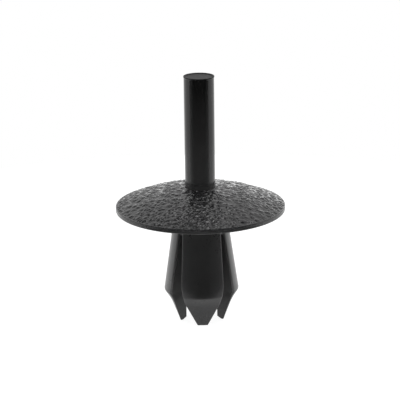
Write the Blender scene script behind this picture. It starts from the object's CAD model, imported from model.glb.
# %% [markdown]
# # A plastic push rivet, dressed for the camera
# A rivet like this holds a trim panel to a car body. It is two mouldings: a body, with a wide domed
# head, a short collar and four splayed legs, and a drive pin that stands in the middle of the head
# until it is pushed home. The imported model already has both, at a size that was worked out from an
# assumed 20 mm head, so this script keeps that frame and gives each one a finer skin.

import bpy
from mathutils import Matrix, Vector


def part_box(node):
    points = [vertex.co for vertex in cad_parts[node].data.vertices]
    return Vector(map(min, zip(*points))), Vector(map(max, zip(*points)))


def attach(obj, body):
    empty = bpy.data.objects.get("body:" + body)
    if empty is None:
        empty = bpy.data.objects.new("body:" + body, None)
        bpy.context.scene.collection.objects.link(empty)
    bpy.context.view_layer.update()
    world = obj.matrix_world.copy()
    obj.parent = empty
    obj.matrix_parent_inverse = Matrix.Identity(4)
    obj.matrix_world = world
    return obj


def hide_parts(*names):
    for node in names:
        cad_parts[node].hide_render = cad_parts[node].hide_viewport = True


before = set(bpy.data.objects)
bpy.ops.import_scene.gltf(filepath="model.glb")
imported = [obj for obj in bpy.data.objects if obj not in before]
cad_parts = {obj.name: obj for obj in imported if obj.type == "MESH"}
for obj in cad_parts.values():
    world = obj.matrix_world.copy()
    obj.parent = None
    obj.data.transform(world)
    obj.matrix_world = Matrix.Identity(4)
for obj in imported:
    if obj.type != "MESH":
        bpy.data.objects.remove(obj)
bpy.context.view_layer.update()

# %% Modules and the unit
import math

import bmesh
import bpy
from mathutils import Matrix, Vector, noise

MM = 0.001      # everything below is written in millimetres and built in metres

# %% [markdown]
# ## The sizes
# A dressed part that drifts from its solid model can't be trusted, so the skins are built from the same
# driving sizes as the solids. They could be read back from the mesh, but named numbers are easier to
# follow, and the box of each node tells at once whether they still agree.

# %% Driving sizes, in millimetres
HEAD_RADIUS = 10.0
RIM_HEIGHT = 0.54
CROWN_HEIGHT = 2.75
DOME_BOW = 0.39
HEAD_WALL = 0.95
SEAT_WIDTH = 1.5
RIM_ROUND = 0.10
SEAT_ROUND = 0.08

COLLAR_RADIUS = 3.65
COLLAR_DEPTH = 2.30
COLLAR_CHAMFER = 0.45

PIN_RADIUS = 1.77
PIN_HOLD = 2.91
PIN_SHORT = 0.30
LIP_OVERHANG = 0.03
LIP_HEIGHT = 0.10
LIP_CLEARANCE = 0.03        # round the lip, in the mouth
POINT_LENGTH = 1.2
POINT_INSET = 0.45
PIN_CLEARANCE = 0.08
MOUTH_GAP = 0.03            # between the pin and a narrower ring under the mouth, which is assumed
MOUTH_DEPTH = 0.14          # of the assumed counterbore that takes the pin's lip

LEG_COUNT = 4
ROOT_STEP = 0.35
ROOT_WIDTH = 4.68
ROOT_HEEL = 0.25
SHOULDER_RISE = 1.05
SHOULDER_WIDTH = 5.24
BULGE_OVERHANG = 0.79
BULGE_DEPTH = 9.8
BULGE_WIDTH = 4.94
WAIST_DROP = 1.0
WAIST_INSET = 0.72
WAIST_WIDTH = 4.26
TIP_WALL = 0.76
TIP_DROP = 3.95
TIP_WIDTH = 1.42
TIP_HEEL = 1.87
FOOT_BEVEL = 0.06
FOOT_LEAD = 0.22

WEB_DROP = 0.20
WEB_HALF_WIDTH = 0.36

# %% Sizes that follow from them
CHANNEL_RADIUS = PIN_RADIUS + PIN_CLEARANCE
MOUTH_RADIUS = PIN_RADIUS + LIP_OVERHANG + LIP_CLEARANCE
ROOT_RADIUS = COLLAR_RADIUS - ROOT_STEP
BULGE_RADIUS = COLLAR_RADIUS + BULGE_OVERHANG
TIP_RADIUS = CHANNEL_RADIUS + TIP_WALL
TIP_DEPTH = BULGE_DEPTH + TIP_DROP
LEG_TOP = COLLAR_CHAMFER - COLLAR_DEPTH
SHOULDER_DEPTH = BULGE_DEPTH - SHOULDER_RISE
SHOULDER_SHARE = (SHOULDER_DEPTH + LEG_TOP) / (BULGE_DEPTH + LEG_TOP)
SHOULDER_RADIUS = ROOT_RADIUS + (BULGE_RADIUS - ROOT_RADIUS) * SHOULDER_SHARE
PIN_BOTTOM = CROWN_HEIGHT - PIN_HOLD
PIN_TOP = PIN_BOTTOM + CROWN_HEIGHT + TIP_DEPTH - PIN_SHORT
for node in ("rivet_body", "drive_pin"):
    low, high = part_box(node)
    print(node, "from", [round(v / MM, 3) for v in low], "to", [round(v / MM, 3) for v in high], "mm")
assert abs(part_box("rivet_body")[0].z / MM + TIP_DEPTH) < 0.01
assert abs(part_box("drive_pin")[1].z / MM - PIN_TOP) < 0.01

# %% [markdown]
# ## The camera
# A long lens about 200 mm away, 58 mm above the seat, looks down on the head and keeps the perspective
# flat. The camera could be turned by Euler angles, but a look-at direction and one small roll say the
# same with numbers that mean something.

# %% Place the camera
CAMERA_DISTANCE = 191.1     # level distance from the pin's axis
CAMERA_HEIGHT = 58.4        # above the seat
CAMERA_TURN = 2.00          # degrees round the axis, from straight in front
CAMERA_ROLL = 0.756         # degrees, which leans the rivet a little to the left
LENS = 152.1                # millimetres, on the default 36 mm sensor
AIM = Vector((-0.045, 0.0, 1.07))

turn = math.radians(CAMERA_TURN)
camera_place = Vector((-math.sin(turn) * CAMERA_DISTANCE, -math.cos(turn) * CAMERA_DISTANCE, CAMERA_HEIGHT))
look = (AIM - camera_place).to_track_quat("-Z", "Y").to_matrix().to_4x4()
camera_data = bpy.data.cameras.new("catalogue_lens")
camera_data.lens = LENS
camera_data.clip_start = 0.005
camera = bpy.data.objects.new("catalogue_camera", camera_data)
roll = Matrix.Rotation(-math.radians(CAMERA_ROLL), 4, "Z")
camera.matrix_world = Matrix.Translation(camera_place * MM) @ look @ roll
bpy.context.scene.collection.objects.link(camera)
bpy.context.scene.camera = camera
print("camera at", [round(v, 1) for v in camera_place], "mm")

# %% [markdown]
# ## Rings of points
# Both mouldings are mostly turned shapes. Spinning a profile gives every ring the same number of
# points, which crowds them at the middle and starves them at the rim, where the grain needs them. So
# each ring gets as many points as its length asks for, and two neighbours are sewn with triangles, like
# a zip with unequal teeth.

# %% Sew two rings, and turn a profile


def sew(first, second, first_shift, second_shift):
    """Triangles between two rings of vertex numbers, taken in turn by angle."""
    a = b = 0
    faces = []
    while a < len(first) or b < len(second):
        next_a = (a + 0.5 + first_shift) / len(first)
        next_b = (b + 0.5 + second_shift) / len(second)
        here_a = first[a % len(first)]
        here_b = second[b % len(second)]
        if b == len(second) or (a < len(first) and next_a <= next_b):
            faces.append((here_a, first[(a + 1) % len(first)], here_b))
            a += 1
        else:
            faces.append((here_a, second[(b + 1) % len(second)], here_b))
            b += 1
    return faces


def turned(name, rings, closed):
    """Mesh object from rings of (radius, height, number of points), in millimetres."""
    points = []
    numbers = []
    shifts = []
    for place, (radius, height, count) in enumerate(rings):
        shift = 0.25 * (place % 2)
        numbers.append(range(len(points), len(points) + count))
        shifts.append(shift)
        for step in range(count):
            angle = math.tau * (step + shift) / count
            points.append((radius * math.cos(angle), radius * math.sin(angle), height))
    faces = []
    pairs = list(zip(range(len(rings) - 1), range(1, len(rings))))
    if closed:
        pairs.append((len(rings) - 1, 0))
    for a, b in pairs:
        faces += sew(numbers[a], numbers[b], shifts[a], shifts[b])
    if not closed:
        faces += [tuple(reversed(numbers[0])), tuple(numbers[-1])]
    return solid(name, points, faces)


def solid(name, points, faces):
    """Mesh object from points in millimetres and faces, with its normals turned outwards."""
    mesh = bpy.data.meshes.new(name)
    mesh.from_pydata([Vector(p) * MM for p in points], [], faces)
    work = bmesh.new()
    work.from_mesh(mesh)
    bmesh.ops.recalc_face_normals(work, faces=work.faces)
    work.to_mesh(mesh)
    work.free()
    made = bpy.data.objects.new(name, mesh)
    bpy.context.scene.collection.objects.link(made)
    print(name, len(mesh.vertices), "points,", len(mesh.polygons), "faces")
    return made


# %% Round a corner of a profile


def softened(path, rounds, steps=4):
    """The path's points, with an arc in place of each corner that rounds names."""
    points = []
    for place, corner in enumerate(path):
        radius = rounds.get(place, 0)
        if not radius:
            points.append(corner)
            continue
        here = Vector(corner)
        back = (Vector(path[place - 1]) - here).normalized()
        on = (Vector(path[(place + 1) % len(path)]) - here).normalized()
        half = back.angle(on) / 2
        reach = radius / math.tan(half)
        start = here + back * reach
        end = here + on * reach
        centre = here + (back + on).normalized() * radius / math.sin(half)
        for step in range(steps + 1):
            share = step / steps
            spoke = (start - centre).lerp(end - centre, share).normalized()
            points.append(tuple(centre + spoke * radius))
    return points


# %% [markdown]
# ## The head
# The top is a shallow dome, one arc from the channel's mouth to the rim, and it carries a leather
# grain. A bump map would leave the silhouette smooth and lose the grain at a low angle, where it shows
# most, so the pebbles are real: each point of the dome is pushed down where two cells of a Voronoi
# pattern meet.

# %% The dome's arc and the rim's round


def arc_between(start, end, bow):
    """Centre and radius of the arc that joins two points and swells outwards by bow."""
    start, end = Vector(start), Vector(end)
    chord = end - start
    radius = (chord.length_squared / 4 + bow * bow) / (2 * bow)
    outwards = Vector((-chord.y, chord.x)).normalized()
    return (start + end) / 2 + outwards * (bow - radius), radius


dome_centre, dome_radius = arc_between((MOUTH_RADIUS, CROWN_HEIGHT), (HEAD_RADIUS, RIM_HEIGHT), DOME_BOW)
dish_centre, dish_radius = arc_between(
    (MOUTH_RADIUS, CROWN_HEIGHT - HEAD_WALL), (HEAD_RADIUS, RIM_HEIGHT - HEAD_WALL), DOME_BOW
)


def height_on(centre, radius, distance):
    """Height of an arc at a distance from the axis."""
    return centre.y + math.sqrt(radius**2 - (distance - centre.x) ** 2)


rim_centre = Vector((HEAD_RADIUS - RIM_ROUND, 0.0))
rim_centre.y = height_on(dome_centre, dome_radius - RIM_ROUND, rim_centre.x)
rim_lean = (rim_centre - dome_centre).angle(Vector((1, 0)))
dome_edge = rim_centre.x + RIM_ROUND * math.cos(rim_lean)
print("dome radius", round(dome_radius, 2), "mm, ends", round(dome_edge, 3), "mm from the axis")

# %% The leather grain
GRAIN_CELL = 0.54       # across one pebble
GRAIN_STRETCH = 1.3     # a pebble is this much longer from side to side
GRAIN_DEPTH = 0.145     # from a pebble's crown to the valley
GRAIN_SMOOTH_RIM = 0.12 # plain band inside the rim's edge
GRAIN_SMOOTH_MOUTH = 0.2
VALLEY_WIDTH = 0.55     # in cells
CROWN_WIDTH = 0.7       # in cells
DRIFT = 0.28            # how far the pebbles wander from their places
DRIFT_SIZE = 1.1        # across one wave of that
# three far-apart places in one noise, as noise_vector picks new ones in each session
DRIFT_STARTS = (Vector((0.0, 0.0, 0.0)), Vector((31.7, 5.1, 2.3)), Vector((-12.9, 40.3, 7.7)))


def grain(x, y):
    """How deep a point of the dome lies below its crowns, from 0 to 1."""
    place = Vector((x, y, 0.0))
    drift = Vector([noise.noise(place / DRIFT_SIZE + start) for start in DRIFT_STARTS]) * DRIFT
    place = (place + drift) / GRAIN_CELL
    place.x /= GRAIN_STRETCH
    near, _ = noise.voronoi(place)
    valley = 1 - min((near[1] - near[0]) / VALLEY_WIDTH, 1.0)
    crown = min(near[0] / CROWN_WIDTH, 1.0)
    ripple = 0.5 + 0.5 * noise.noise(place * 2.6)
    return min(1.0, 0.45 * valley**1.3 + 0.40 * crown**2 + 0.15 * ripple)


# %% Rings from the channel's wall over the dome to the rim
POINT_SPACING = 0.066   # between the points of the grained dome
SMOOTH_COUNT = 288      # points round a ring that carries no grain
RIM_STEPS = 5
SEAT_STEPS = 3


def ring_count(radius):
    return max(48, round(math.tau * radius / POINT_SPACING))


bore = CHANNEL_RADIUS - 0.25        # the channel is cut later, so the ring starts inside it
head_rings = [(radius, CROWN_HEIGHT, ring_count(radius)) for radius in (bore, MOUTH_RADIUS)]
steps = round((dome_edge - MOUTH_RADIUS) / POINT_SPACING)
for step in range(1, steps + 1):
    radius = MOUTH_RADIUS + (dome_edge - MOUTH_RADIUS) * step / steps
    head_rings.append((radius, height_on(dome_centre, dome_radius, radius), ring_count(radius)))
for step in range(1, RIM_STEPS + 1):
    angle = rim_lean * (1 - step / RIM_STEPS)
    across = RIM_ROUND * math.cos(angle)
    up = RIM_ROUND * math.sin(angle)
    head_rings.append((rim_centre.x + across, rim_centre.y + up, SMOOTH_COUNT))
for step in range(SEAT_STEPS + 1):
    angle = math.pi / 2 * step / SEAT_STEPS
    across = HEAD_RADIUS - SEAT_ROUND * (1 - math.cos(angle))
    head_rings.append((across, SEAT_ROUND * (1 - math.sin(angle)), SMOOTH_COUNT))

# %% Rings of the seat, the dish and the collar
DISH_STEPS = 12
DISH_ROUND = 0.25           # where the seat's inner wall meets the dish
COLLAR_FILLET = 0.20        # where the dish meets the collar
CHAMFER_ROUND = 0.10        # on both edges of the collar's chamfer

dish_edge = HEAD_RADIUS - SEAT_WIDTH
under = [(dish_edge, 0.0), (dish_edge, height_on(dish_centre, dish_radius, dish_edge))]
for step in range(1, DISH_STEPS + 1):
    radius = dish_edge + (COLLAR_RADIUS - dish_edge) * step / DISH_STEPS
    under.append((radius, height_on(dish_centre, dish_radius, radius)))
corner = len(under) - 1
under += [
    (COLLAR_RADIUS, LEG_TOP),
    (COLLAR_RADIUS - COLLAR_CHAMFER, -COLLAR_DEPTH),
    (bore, -COLLAR_DEPTH),
]
rounds = {0: SEAT_ROUND, 1: DISH_ROUND, corner: COLLAR_FILLET}
rounds |= {corner + 1: CHAMFER_ROUND, corner + 2: CHAMFER_ROUND}
head_rings += [(radius, height, SMOOTH_COUNT) for radius, height in softened(under, rounds)]
head = turned("head", head_rings, closed=True)

# %% Press the grain into the dome
NEAR = 0.01                 # a point this close to the dome's arc lies on it
MOUTH_SHARE = 0.25          # of the grain's depth that is left at the mouth's edge

pressed = 0
for vertex in head.data.vertices:
    x, y, z = vertex.co / MM
    distance = math.hypot(x, y)
    if not MOUTH_RADIUS - NEAR <= distance <= dome_edge:
        continue
    if abs(z - height_on(dome_centre, dome_radius, distance)) > NEAR:
        continue                        # a point of the dish, under the dome
    at_rim = min(1.0, (dome_edge - distance) / GRAIN_SMOOTH_RIM)
    at_mouth = min(1.0, (distance - MOUTH_RADIUS) / GRAIN_SMOOTH_MOUTH + MOUTH_SHARE)
    depth = GRAIN_DEPTH * grain(x, y) * at_rim * at_mouth
    inwards = (Vector((distance, z)) - dome_centre).normalized() * -depth
    scale = (distance + inwards.x) / distance
    vertex.co = Vector((x * scale, y * scale, z + inwards.y)) * MM
    pressed += 1
print("grain pressed into", pressed, "points")

# %% [markdown]
# ## A leg
# Each leg is a finger that bends inwards as the rivet goes through its hole. Level sections give its
# shape: a rounded face outside, two walls that run back to a heel, and a small round where they meet. A
# cage under a subdivision modifier would soften the ridge at the bulge, which is crisp on the moulding,
# so the sections are joined by straight runs with a hair of rounding at the ridge.

# %% One level section
FACE_STEPS = 22
CORNER_STEPS = 5
WALL_STEPS = 6


def leg_section(height, face_radius, face_offset, width, edge_round):
    """Points round a leg at one height, from the heel and back to it."""
    half_width = width / 2
    sweep = face_radius + face_offset
    corner = math.sqrt(sweep**2 - half_width**2) - face_offset
    down = (LEG_TOP - height) / (LEG_TOP + TIP_DEPTH)
    heel = Vector((ROOT_HEEL + (TIP_HEEL - ROOT_HEEL) * down, 0.0))
    lean = math.atan2(half_width, corner - heel.x)
    along = Vector((math.cos(lean), math.sin(lean)))
    inside = Vector((math.sin(lean), -math.cos(lean)))
    # the round's centre is edge_round inside the wall, and inside the face
    start = heel + inside * edge_round + Vector((face_offset, 0.0))
    forward = start.dot(along)
    reach = math.sqrt(forward**2 - start.length_squared + (sweep - edge_round) ** 2) - forward
    centre = heel + inside * edge_round + along * reach
    wall_end = centre - inside * edge_round
    face_angle = math.atan2(centre.y, centre.x + face_offset)
    wall_angle = math.atan2(-inside.y, -inside.x)
    half = [heel.lerp(wall_end, step / WALL_STEPS) for step in range(WALL_STEPS)]
    for step in range(CORNER_STEPS):
        angle = wall_angle + (face_angle - wall_angle) * step / CORNER_STEPS
        half.append(centre + Vector((math.cos(angle), math.sin(angle))) * edge_round)
    face = []
    for step in range(FACE_STEPS + 1):
        angle = face_angle * (1 - 2 * step / FACE_STEPS)
        face.append(Vector((math.cos(angle) * sweep - face_offset, math.sin(angle) * sweep)))
    other = [Vector((p.x, -p.y)) for p in reversed(half[1:])]
    return [Vector((p.x, p.y, height)) for p in half + face + other]


def between(first, second, share):
    return [a.lerp(b, share) for a, b in zip(first, second)]


def eased(first, middle, last, steps=4):
    """Sections that go round a ridge: first and last lie a little before and after it."""
    rows = []
    for step in range(steps + 1):
        share = step / steps
        rows.append(between(between(first, middle, share), between(middle, last, share), share))
    return rows


# %% The six sections, from the collar down
UPPER_OFFSET, BULGE_OFFSET, WAIST_OFFSET, TIP_OFFSET = 0.9, -0.1, 2.2, 5.0
UPPER_ROUND, BULGE_ROUND, WAIST_ROUND, TIP_ROUND = 0.17, 0.22, 0.09, 0.06
FOOT_ROUND = 0.05

root = leg_section(LEG_TOP, ROOT_RADIUS, UPPER_OFFSET, ROOT_WIDTH, UPPER_ROUND)
shoulder = leg_section(-SHOULDER_DEPTH, SHOULDER_RADIUS, UPPER_OFFSET, SHOULDER_WIDTH, UPPER_ROUND)
bulge = leg_section(-BULGE_DEPTH, BULGE_RADIUS, BULGE_OFFSET, BULGE_WIDTH, BULGE_ROUND)
waist_radius = BULGE_RADIUS - WAIST_INSET
waist = leg_section(-BULGE_DEPTH - WAIST_DROP, waist_radius, WAIST_OFFSET, WAIST_WIDTH, WAIST_ROUND)
tip = leg_section(FOOT_BEVEL - TIP_DEPTH, TIP_RADIUS, TIP_OFFSET, TIP_WIDTH, TIP_ROUND)
foot_width = TIP_WIDTH - 2 * FOOT_BEVEL
foot = leg_section(-TIP_DEPTH, TIP_RADIUS - FOOT_BEVEL, TIP_OFFSET, foot_width, FOOT_ROUND)
print("each section has", len(root), "points")

# %% Join the sections into one leg, four times
ROOT_ROWS = 20              # sections between the root and the shoulder


def toward(first, second, distance):
    """The section a short way from the first one towards the second."""
    return between(first, second, distance / abs(first[0].z - second[0].z))


rows = [between(root, shoulder, step / ROOT_ROWS) for step in range(ROOT_ROWS)]
rows += eased(toward(shoulder, root, 0.5), shoulder, toward(shoulder, bulge, 0.5), 6)
rows += eased(toward(bulge, shoulder, 0.10), bulge, toward(bulge, waist, 0.10), 5)
rows += eased(toward(waist, bulge, 0.5), waist, toward(waist, tip, 0.6), 6)
rows += [between(waist, tip, 0.25 + 0.74 * step / 10) for step in range(1, 10)]
rows += eased(toward(tip, waist, 0.03), tip, between(tip, foot, 0.5))
rows += [foot]
rows = [row for place, row in enumerate(rows) if place == 0 or rows[place - 1][0].z - row[0].z > 0.001]


def leg(number):
    """One leg, turned to its place round the axis."""
    turn = Matrix.Rotation(math.tau * number / LEG_COUNT, 3, "Z")
    size = len(root)
    points = [turn @ point for row in rows for point in row]
    faces = []
    for row in range(len(rows) - 1):
        for step in range(size):
            a = row * size + step
            b = row * size + (step + 1) % size
            faces.append((a, b, b + size, a + size))
    faces.append(tuple(range(size)))
    faces.append(tuple(range((len(rows) - 1) * size, len(rows) * size)))
    return solid(f"leg_{number}", points, faces)


legs = [leg(number) for number in range(LEG_COUNT)]

# %% [markdown]
# ## The webs and the channel
# Under the collar an arched web closes the top of each gap. Each web is a flat plate with an arch cut
# out of its lower edge, pushed out from the axis. The channel is one turned plug, taken away from
# everything at the end, so its wall is one clean face through the head, the collar and all four legs.
# The form of both is assumed.

# %% Arched webs
ARCH_STEPS = 16
WEB_ROOT = 0.2              # how far the web's upper end reaches into the collar
WEB_START = 1.0             # from the axis, inside the channel that is cut later


def web(number):
    """One web, between two legs."""
    turn = Matrix.Rotation(math.tau * (number + 0.5) / LEG_COUNT, 3, "Z")
    web_bottom = -COLLAR_DEPTH - WEB_DROP - WEB_HALF_WIDTH
    outline = [(-WEB_HALF_WIDTH, LEG_TOP + WEB_ROOT), (-WEB_HALF_WIDTH, web_bottom)]
    for step in range(1, ARCH_STEPS):
        angle = math.pi * (1 - step / ARCH_STEPS)
        outline.append((WEB_HALF_WIDTH * math.cos(angle), web_bottom + WEB_HALF_WIDTH * math.sin(angle)))
    outline += [(WEB_HALF_WIDTH, web_bottom), (WEB_HALF_WIDTH, LEG_TOP + WEB_ROOT)]
    points = [turn @ Vector((WEB_START, across, height)) for across, height in outline]
    points += [turn @ Vector((ROOT_RADIUS, across, height)) for across, height in outline]
    size = len(outline)
    faces = [(a, (a + 1) % size, (a + 1) % size + size, a + size) for a in range(size)]
    faces.append(tuple(range(size)))
    faces.append(tuple(range(size, 2 * size)))
    return solid(f"web_{number}", points, faces)


webs = [web(number) for number in range(LEG_COUNT)]

# %% The channel's plug
PLUG_POINTS = 160
FOOT_OPENING = 0.45         # how much wider the channel is at the feet, each side

plug_profile = [
    (MOUTH_RADIUS, CROWN_HEIGHT + 0.25),
    (MOUTH_RADIUS, CROWN_HEIGHT - MOUTH_DEPTH),
    (PIN_RADIUS + MOUTH_GAP, CROWN_HEIGHT - MOUTH_DEPTH - 0.02),
    (PIN_RADIUS + MOUTH_GAP, CROWN_HEIGHT - HEAD_WALL),
    (CHANNEL_RADIUS, CROWN_HEIGHT - HEAD_WALL - 0.1),
    (CHANNEL_RADIUS, FOOT_LEAD - TIP_DEPTH),
    (CHANNEL_RADIUS + FOOT_OPENING, -TIP_DEPTH),
    (CHANNEL_RADIUS + FOOT_OPENING, -TIP_DEPTH - 0.5),
]
plug = turned("channel_plug", [(r, h, PLUG_POINTS) for r, h in plug_profile], closed=False)

# %% Make one moulding of them


def combine(target, other, operation):
    """Adds a closed mesh to the target, or takes it away, and then removes it."""
    step = target.modifiers.new("combine", "BOOLEAN")
    step.operation = operation
    step.object = other
    step.solver = "MANIFOLD"
    graph = bpy.context.evaluated_depsgraph_get()
    result = bpy.data.meshes.new_from_object(target.evaluated_get(graph))
    target.modifiers.clear()
    target.data = result
    bpy.data.objects.remove(other)


for part in legs + webs:
    combine(head, part, "UNION")
combine(head, plug, "DIFFERENCE")
head.name = "rivet_skin"
print("moulding:", len(head.data.vertices), "points,", len(head.data.polygons), "faces")

# %% [markdown]
# ## The drive pin
# A plain turned pin with a faint lip at its upper end and a lead-in at the lower one. Its skin is
# turned from one profile, with small rounds where a moulded edge is never quite sharp.

# %% Turn the pin
END_RIM = 0.15          # width of the rim that is left round the dished end
END_DEPTH = 0.08        # of the dish in the pin's upper end
END_FLAT = 0.6          # radius of the flat in the middle of each end
PIN_POINTS = 192

lip_radius = PIN_RADIUS + LIP_OVERHANG
pin_profile = [
    (END_FLAT, PIN_TOP - 0.8 * END_DEPTH),
    (lip_radius - END_RIM - 0.02, PIN_TOP - END_DEPTH),
    (lip_radius - END_RIM, PIN_TOP),
    (lip_radius, PIN_TOP),
    (lip_radius, PIN_TOP - LIP_HEIGHT),
    (PIN_RADIUS, PIN_TOP - 2 * LIP_HEIGHT),
    (PIN_RADIUS, PIN_BOTTOM + POINT_LENGTH),
    (PIN_RADIUS - POINT_INSET, PIN_BOTTOM),
    (END_FLAT, PIN_BOTTOM),
]
pin_rounds = {1: 0.03, 2: 0.03, 3: 0.03, 4: 0.01, 5: 0.03, 6: 0.30, 7: 0.15}
pin_rings = [(r, h, PIN_POINTS) for r, h in softened(pin_profile, pin_rounds)]
pin = turned("pin_skin", pin_rings, closed=False)

# %% [markdown]
# ## Smooth and crisp edges
# Smooth shading makes the sewn triangles read as one surface, but it would also smear the crisp corners
# of the collar and the feet. So an edge stays crisp where its two faces meet at more than a set angle,
# and the grained dome is always smooth.

# %% Mark the crisp edges
CRISP_ANGLE = math.radians(32)
DOME_FLOOR = 0.4            # the dome lies above this height


def shade(piece):
    """Smooth faces, with crisp edges where the angle passes the limit, away from the dome."""
    work = bmesh.new()
    work.from_mesh(piece.data)
    crisp = 0
    for face in work.faces:
        face.smooth = True
    for edge in work.edges:
        on_dome = all(v.co.z > DOME_FLOOR * MM and MOUTH_RADIUS * MM < v.co.xy.length for v in edge.verts)
        edge.smooth = on_dome or not edge.is_manifold or edge.calc_face_angle(0) < CRISP_ANGLE
        crisp += not edge.smooth
    work.to_mesh(piece.data)
    work.free()
    print(piece.name, crisp, "crisp edges")


shade(head)
shade(pin)

# %% [markdown]
# ## Writing a material as sums
# A node tree is easier to read as arithmetic. One small class wraps a socket, so that 1 - mask or a * b
# adds the Math nodes it needs, and one method makes any other node. Colours go through Mix nodes,
# because a Math node would turn them grey.

# %% The socket class


class Wire:
    """A node's output, or the start of a tree when it has none."""

    def __init__(self, tree, socket=None):
        self.tree = tree
        self.socket = socket

    def node(self, kind, sockets=None, output=0, **settings):
        """Adds a node, sets it up, then gives its sockets their values or links."""
        made = self.tree.nodes.new("ShaderNode" + kind)
        stops = settings.pop("stops", None)
        for name, value in settings.items():
            setattr(made, name, value)
        if stops:
            ramp = made.color_ramp
            while len(ramp.elements) < len(stops):
                ramp.elements.new(0.5)
            for element, (place, shade_of_grey) in zip(ramp.elements, stops):
                element.position = place
                element.color = (shade_of_grey, shade_of_grey, shade_of_grey, 1.0)
        for key, value in (sockets or {}).items():
            if isinstance(key, int):
                target = made.inputs[key]
            else:
                target = next(s for s in made.inputs if s.name == key and s.enabled)
            if isinstance(value, Wire):
                self.tree.links.new(value.socket, target)
            else:
                target.default_value = value
        usable = [s for s in made.outputs if s.enabled]
        found = usable[output] if isinstance(output, int) else made.outputs[output]
        return Wire(self.tree, found) if usable else made

    def _sum(self, operation, first, second):
        return self.node("Math", {0: first, 1: second}, operation=operation)

    def __add__(self, other):
        return self._sum("ADD", self, other)

    def __radd__(self, other):
        return self._sum("ADD", other, self)

    def __sub__(self, other):
        return self._sum("SUBTRACT", self, other)

    def __rsub__(self, other):
        return self._sum("SUBTRACT", other, self)

    def __mul__(self, other):
        return self._sum("MULTIPLY", self, other)

    def __rmul__(self, other):
        return self._sum("MULTIPLY", other, self)


def new_material(name):
    """An empty material, its first wire, and its output node."""
    material = bpy.data.materials.new(name)
    material.use_nodes = True
    tree = material.node_tree
    tree.nodes.clear()
    return material, Wire(tree), tree.nodes.new("ShaderNodeOutputMaterial")


# %% [markdown]
# ## Grained and satin black plastic
# Black plastic is a very dark grey, with all of its look in how it reflects. The grained dome is fairly
# glossy. Below it, four tones were set by comparing brightness, and nobody knows whether they are in
# the real plastic: the middle of each leg's face gets darker towards the ridge, the inner walls are
# matt and greyer, the long corners are paler, and the collar's lower chamfer is paler still. Some of
# them may only stand in for light that this scene lacks. Other lamps could do that more honestly, but
# they would change the dome as well, so each mask is made from the position and the normal and touches
# one place.

# %% The body's material
GREYS = {"leg_middle": 0.001, "wall_and_corner": 0.040, "chamfer": 0.09}


def body_plastic():
    material, start, output = new_material("grained_black_plastic")
    place = start.node("TexCoord", output="Object")
    cloud = start.node("TexNoise", {"Vector": place, "Scale": 260.0, "Detail": 4.0, "Roughness": 0.6})
    speckle = start.node("TexNoise", {"Vector": place, "Scale": 5200.0, "Detail": 3.0, "Roughness": 0.65})
    dark, pale = (0.009, 0.009, 0.0095, 1.0), (0.019, 0.019, 0.0195, 1.0)
    tones = {"Factor": cloud * 0.5 + speckle * 0.5, "A": dark, "B": pale}
    colour = start.node("Mix", tones, data_type="RGBA")

    # where a point is, and which way it faces
    height = start.node("SeparateXYZ", {0: place}, output="Z")
    flat = start.node("VectorMath", {0: place, 1: (1.0, 1.0, 0.0)}, operation="MULTIPLY")
    outwards = start.node("VectorMath", {0: flat}, operation="NORMALIZE")
    normal = start.node("NewGeometry", output="Normal")
    tilt = start.node("SeparateXYZ", {0: normal}, output="Z")
    facing = start.node("VectorMath", {0: outwards, 1: normal}, operation="DOT_PRODUCT", output="Value")

    # the walls between the legs, and the legs' long corners
    below = start.node("MapRange", {"Value": height, "From Min": 0.5 * MM, "From Max": 0.3 * MM})
    wall = below * start.node("MapRange", {"Value": facing, "From Min": 0.1, "From Max": -0.1})
    edge = start.node("MapRange", {"Value": facing, "From Min": 0.84, "From Max": 0.70}) - wall
    level = start.node("MapRange", {"Value": tilt, "From Min": -0.25, "From Max": -0.10})
    corner = level * start.node("MapRange", {"Value": facing, "From Min": 0.95, "From Max": 0.85}) - wall

    # the middle of each leg's face, more and more from the collar to the ridge
    ridge = -BULGE_DEPTH * MM
    fade = start.node("MapRange", {"Value": height, "From Min": -1.0 * MM, "From Max": ridge})
    past = {"Value": height, "From Min": ridge + 0.02 * MM, "From Max": ridge - 0.06 * MM}
    x = start.node("SeparateXYZ", {0: outwards}, output="X")
    y = start.node("SeparateXYZ", {0: outwards}, output="Y")
    sideways = start.node("Math", {0: x * y}, operation="ABSOLUTE")
    middle = start.node("MapRange", {"Value": sideways, "From Min": 0.42, "From Max": 0.15})
    leg_middle = below * (1 - start.node("MapRange", past)) * fade * (0.1 + middle * 0.85)

    wall_and_corner = wall * 0.9 + below * (corner * 0.8 + (1 - fade) * 0.2)

    # the collar's lower chamfer
    under = start.node("MapRange", {"Value": tilt, "From Min": -0.45, "From Max": -0.65})
    webs_top = {"Value": height, "From Min": -2.6 * MM, "From Max": -2.5 * MM}
    chamfer = below * under * start.node("MapRange", webs_top)
    shares = {"leg_middle": leg_middle, "wall_and_corner": wall_and_corner, "chamfer": chamfer}
    for name, share in shares.items():
        grey = (GREYS[name], GREYS[name], GREYS[name], 1.0)
        colour = start.node("Mix", {"Factor": share, "A": colour, "B": grey}, data_type="RGBA")

    rough = 0.14 + below * 0.08 + wall * 0.30 - below * edge * 0.10 + cloud * 0.08 + speckle * 0.06
    dent = start.node("Bump", {"Height": speckle, "Strength": 0.35, "Distance": 0.00002})
    look = {"Base Color": colour, "Roughness": rough, "Normal": dent, "IOR": 1.5}
    surface = start.node("BsdfPrincipled", look)
    start.tree.links.new(surface.socket, output.inputs["Surface"])
    return material


# %% [markdown]
# The pin is smoother and deeper black, and its dished end is rougher, which is what its brightness asks
# for. The narrow grey band just above the mouth isn't known to be on a real pin. Without it a black
# ring is left there under these lamps, perhaps because the pin mirrors the dome, and the band covers
# that.

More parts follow.
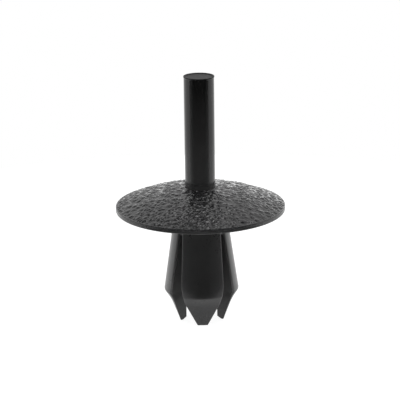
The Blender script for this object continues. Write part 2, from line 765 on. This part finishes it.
# %% The pin's material
FOOT_BAND = 0.75            # height of the grey band above the mouth
BAND_FADE = 0.4             # over which it fades out
BAND_GREY = 0.024
END_FROM, END_TO = 0.13, 0.11   # the dished end's own roughness starts this far below the top
END_ROUGHNESS = 0.52        # on top of the pin's own


def pin_plastic():
    material, start, output = new_material("satin_black_plastic")
    place = start.node("TexCoord", output="Object")
    cloud = start.node("TexNoise", {"Vector": place, "Scale": 420.0, "Detail": 3.0, "Roughness": 0.55})
    speckle = start.node("TexNoise", {"Vector": place, "Scale": 4200.0, "Detail": 2.0, "Roughness": 0.5})
    dark, pale = (0.0015, 0.0015, 0.0015, 1.0), (0.004, 0.004, 0.004, 1.0)
    colour = start.node("Mix", {"Factor": cloud, "A": dark, "B": pale}, data_type="RGBA")
    height = start.node("SeparateXYZ", {0: place}, output="Z")
    band_top = (CROWN_HEIGHT + FOOT_BAND) * MM
    band_reach = {"Value": height, "From Min": band_top, "From Max": band_top - BAND_FADE * MM}
    band = start.node("MapRange", band_reach)
    grey = (BAND_GREY, BAND_GREY, BAND_GREY, 1.0)
    colour = start.node("Mix", {"Factor": band, "A": colour, "B": grey}, data_type="RGBA")
    end_from, end_to = (PIN_TOP - END_FROM) * MM, (PIN_TOP - END_TO) * MM
    end = start.node("MapRange", {"Value": height, "From Min": end_from, "From Max": end_to})
    rough = 0.10 + cloud * 0.08 + end * END_ROUGHNESS
    dents = {"Height": speckle * (1 + end * 24), "Strength": 0.12, "Distance": 0.00001}
    dent = start.node("Bump", dents)
    look = {"Base Color": colour, "Roughness": rough, "Normal": dent, "IOR": 1.5}
    surface = start.node("BsdfPrincipled", look)
    start.tree.links.new(surface.socket, output.inputs["Surface"])
    return material


head.data.materials.clear()
head.data.materials.append(body_plastic())
pin.data.materials.append(pin_plastic())

# %% [markdown]
# ## Tie the skins to the frame
# Each skin stands for its node and rides on its body, so when the pin is driven down, the skin goes
# with it.

# %% Ride, replace and name the finish
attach(head, "body")
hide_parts("rivet_body")
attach(pin, "pin")
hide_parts("drive_pin")
print(head.name, "and", pin.name, "ride on their bodies")

# %% [markdown]
# ## The floor
# The floor is a pale sheet under the legs' tips. Camera, glossy and transmission rays see it almost
# white, so that it runs into the tent. All other rays meet a plain pale sheet, and a faint shadow stays
# under the feet.

# %% The floor
FLOOR_RADIUS = 75.0
FLOOR_GLOW = 0.90
DISC_POINTS = 96


def disc(name, radius, place):
    """A flat round sheet, level, about a centre in millimetres."""
    turns = [math.tau * step / DISC_POINTS for step in range(DISC_POINTS)]
    points = [(place.x + radius * math.cos(a), place.y + radius * math.sin(a), place.z) for a in turns]
    return solid(name, points, [tuple(range(DISC_POINTS))])


floor = disc("floor", FLOOR_RADIUS, Vector((0.0, 0.0, -TIP_DEPTH)))
floor_material, start, output = new_material("pale_floor")
kinds = ("Is Camera Ray", "Is Glossy Ray", "Is Transmission Ray")
rays = [start.node("LightPath", output=kind) for kind in kinds]
sheet = start.node("BsdfDiffuse", {"Color": (0.8, 0.8, 0.8, 1.0)})
thin = start.node("BsdfDiffuse", {"Color": (0.25, 0.25, 0.25, 1.0)})
glow = start.node("Emission", {"Color": (1.0, 1.0, 1.0, 1.0), "Strength": FLOOR_GLOW})
seen = start.node("AddShader", {0: thin, 1: glow})
mixed = start.node("MixShader", {0: rays[0] + rays[1] + rays[2], 1: sheet, 2: seen})
start.tree.links.new(mixed.socket, output.inputs["Surface"])
floor.data.materials.append(floor_material)

# %% [markdown]
# ## A white tent and a soft lamp
# Black plastic shows what stands round it, more than its own colour. A white tent lights the rivet
# evenly and gives the pin and the legs their pale edges. One soft lamp overhead adds the sparkle on the
# grain and the bright line along the rim. A ring of lamps in a dark room could do the same, with more
# of them to set.

# %% The tent
world = bpy.data.worlds.new("light_tent")
bpy.context.scene.world = world
world.use_nodes = True
world.node_tree.nodes.clear()
start = Wire(world.node_tree)
backdrop = start.node("Background", {"Color": (1.0, 1.0, 1.0, 1.0), "Strength": 1.0})
world_output = world.node_tree.nodes.new("ShaderNodeOutputWorld")
world.node_tree.links.new(backdrop.socket, world_output.inputs["Surface"])
print("the tent is", world.name)

# %% The lamp
LAMP_SIDE = 60.0
LAMP_HEIGHT = 210.0
LAMP_STRENGTH = 5.5         # of its face, against the tent's 1
lamp_data = bpy.data.lights.new("overhead", "AREA")
lamp_data.shape = "SQUARE"
lamp_data.size = LAMP_SIDE * MM
lamp_data.energy = LAMP_STRENGTH * math.pi * (LAMP_SIDE * MM) ** 2
lamp = bpy.data.objects.new("overhead", lamp_data)
lamp.location = Vector((0.0, 0.0, LAMP_HEIGHT)) * MM
bpy.context.scene.collection.objects.link(lamp)
print("lamp", LAMP_HEIGHT, "mm above the seat,", round(lamp_data.energy, 4), "W")

# %% [markdown]
# A low, wide window behind the rivet lights the dome's far edge and right flank. Its rays graze the
# grain and give each pebble a bright far side. Its place and strength were found by trying.

# %% The window
WINDOW_WIDTH = 180.0
WINDOW_HEIGHT = 60.0
WINDOW_PLACE = Vector((55.0, 225.0, 25.0))
WINDOW_STRENGTH = 1.35      # of its face, against the tent's 1
window_data = bpy.data.lights.new("window", "AREA")
window_data.shape = "RECTANGLE"
window_data.size = WINDOW_WIDTH * MM
window_data.size_y = WINDOW_HEIGHT * MM
window_data.energy = WINDOW_STRENGTH * math.pi * window_data.size * window_data.size_y
window = bpy.data.objects.new("window", window_data)
aimed = (-WINDOW_PLACE).to_track_quat("-Z", "Y").to_matrix().to_4x4()
window.matrix_world = Matrix.Translation(WINDOW_PLACE * MM) @ aimed
bpy.context.scene.collection.objects.link(window)
print("window", WINDOW_PLACE.y, "mm behind the rivet,", round(window_data.energy, 4), "W")

# %% [markdown]
# ## Two dark cards
# With white all round, black plastic would look like grey card. So a dark card stands in front, swept
# round the camera's side from the floor to well above the pin, and leaves the pin's middle and the
# legs' faces dark. A dark ceiling behind the lamp deepens the hollows of the grain. Both are seen in
# reflections only, and take no light from the rivet or from the floor. The front card pales towards its
# ends, and on the floor, where the pin's lower half is reflected. Its shades were found by trying too.

# %% The cards' paper
CARD_NEAR = 40.0            # the paper's shade changes from here
CARD_FAR = 100.0            # to here, from the middle of the floor


def card_paper():
    material, start, output = new_material("dark_card_paper")
    place = start.node("TexCoord", output="Object")
    bearing = start.node("TexGradient", {"Vector": place}, gradient_type="RADIAL", output="Fac")
    end_stops = [(0.06, 0.30), (0.12, 0.0), (0.38, 0.0), (0.44, 0.30)]      # share of a turn, grey
    ends = start.node("ValToRGB", {"Fac": bearing}, stops=end_stops)
    reach = start.node("VectorMath", {0: place}, operation="LENGTH", output="Value")
    fade = {"Value": reach, "From Min": CARD_NEAR * MM, "From Max": CARD_FAR * MM}
    share = start.node("MapRange", fade)
    floor_stops = [(0.13, 0.0), (0.25, 0.52), (0.97, 0.0)]
    floor_part = start.node("ValToRGB", {"Fac": share}, stops=floor_stops)
    dark = start.node("BsdfDiffuse", {"Color": (0.01, 0.01, 0.01, 1.0)})
    light = start.node("BsdfDiffuse", {"Color": (0.8, 0.8, 0.8, 1.0)})
    paper = start.node("MixShader", {0: ends + floor_part, 1: dark, 2: light})
    clear = start.node("BsdfTransparent", {"Color": (1.0, 1.0, 1.0, 1.0)})
    glossy = start.node("LightPath", output="Is Glossy Ray")
    surface = start.node("MixShader", {0: glossy, 1: clear, 2: paper})
    start.tree.links.new(surface.socket, output.inputs["Surface"])
    return material


# %% The front card
CARD_SPREAD = 75.0          # degrees to either side of the camera
CARD_STEPS = 48
card_profile = [            # distance from the axis, and height above the seat
    (24.0, -TIP_DEPTH + 0.1),
    (60.0, -TIP_DEPTH + 0.1),
    (110.0, 0.0),
    (140.0, 60.0),
    (125.0, 150.0),
    (80.0, 200.0),
]
card_points = []
for radius, level in card_profile:
    for step in range(CARD_STEPS + 1):
        angle = -math.pi / 2 - turn + math.radians(CARD_SPREAD) * (2 * step / CARD_STEPS - 1)
        card_points.append((radius * math.cos(angle), radius * math.sin(angle), level))
row = CARD_STEPS + 1
card_faces = [
    (r * row + c, r * row + c + 1, (r + 1) * row + c + 1, (r + 1) * row + c)
    for r in range(len(card_profile) - 1)
    for c in range(CARD_STEPS)
]
card = solid("front_card", card_points, card_faces)
card.data.materials.append(card_paper())

# %% The dark ceiling
CEILING_RADIUS = 120.0
CEILING_SHIFT = -40.0       # to the left, which leaves the dome's right side open to the tent
CEILING_GAP = 3.0           # above the lamp
ceiling_place = Vector((CEILING_SHIFT, 0.0, LAMP_HEIGHT + CEILING_GAP))
ceiling = disc("dark_ceiling", CEILING_RADIUS, ceiling_place)
ceiling.data.materials.append(card.data.materials[0])

# %% The view transform
bpy.context.scene.view_settings.view_transform = "Standard"
print("view transform:", bpy.context.scene.view_settings.view_transform)
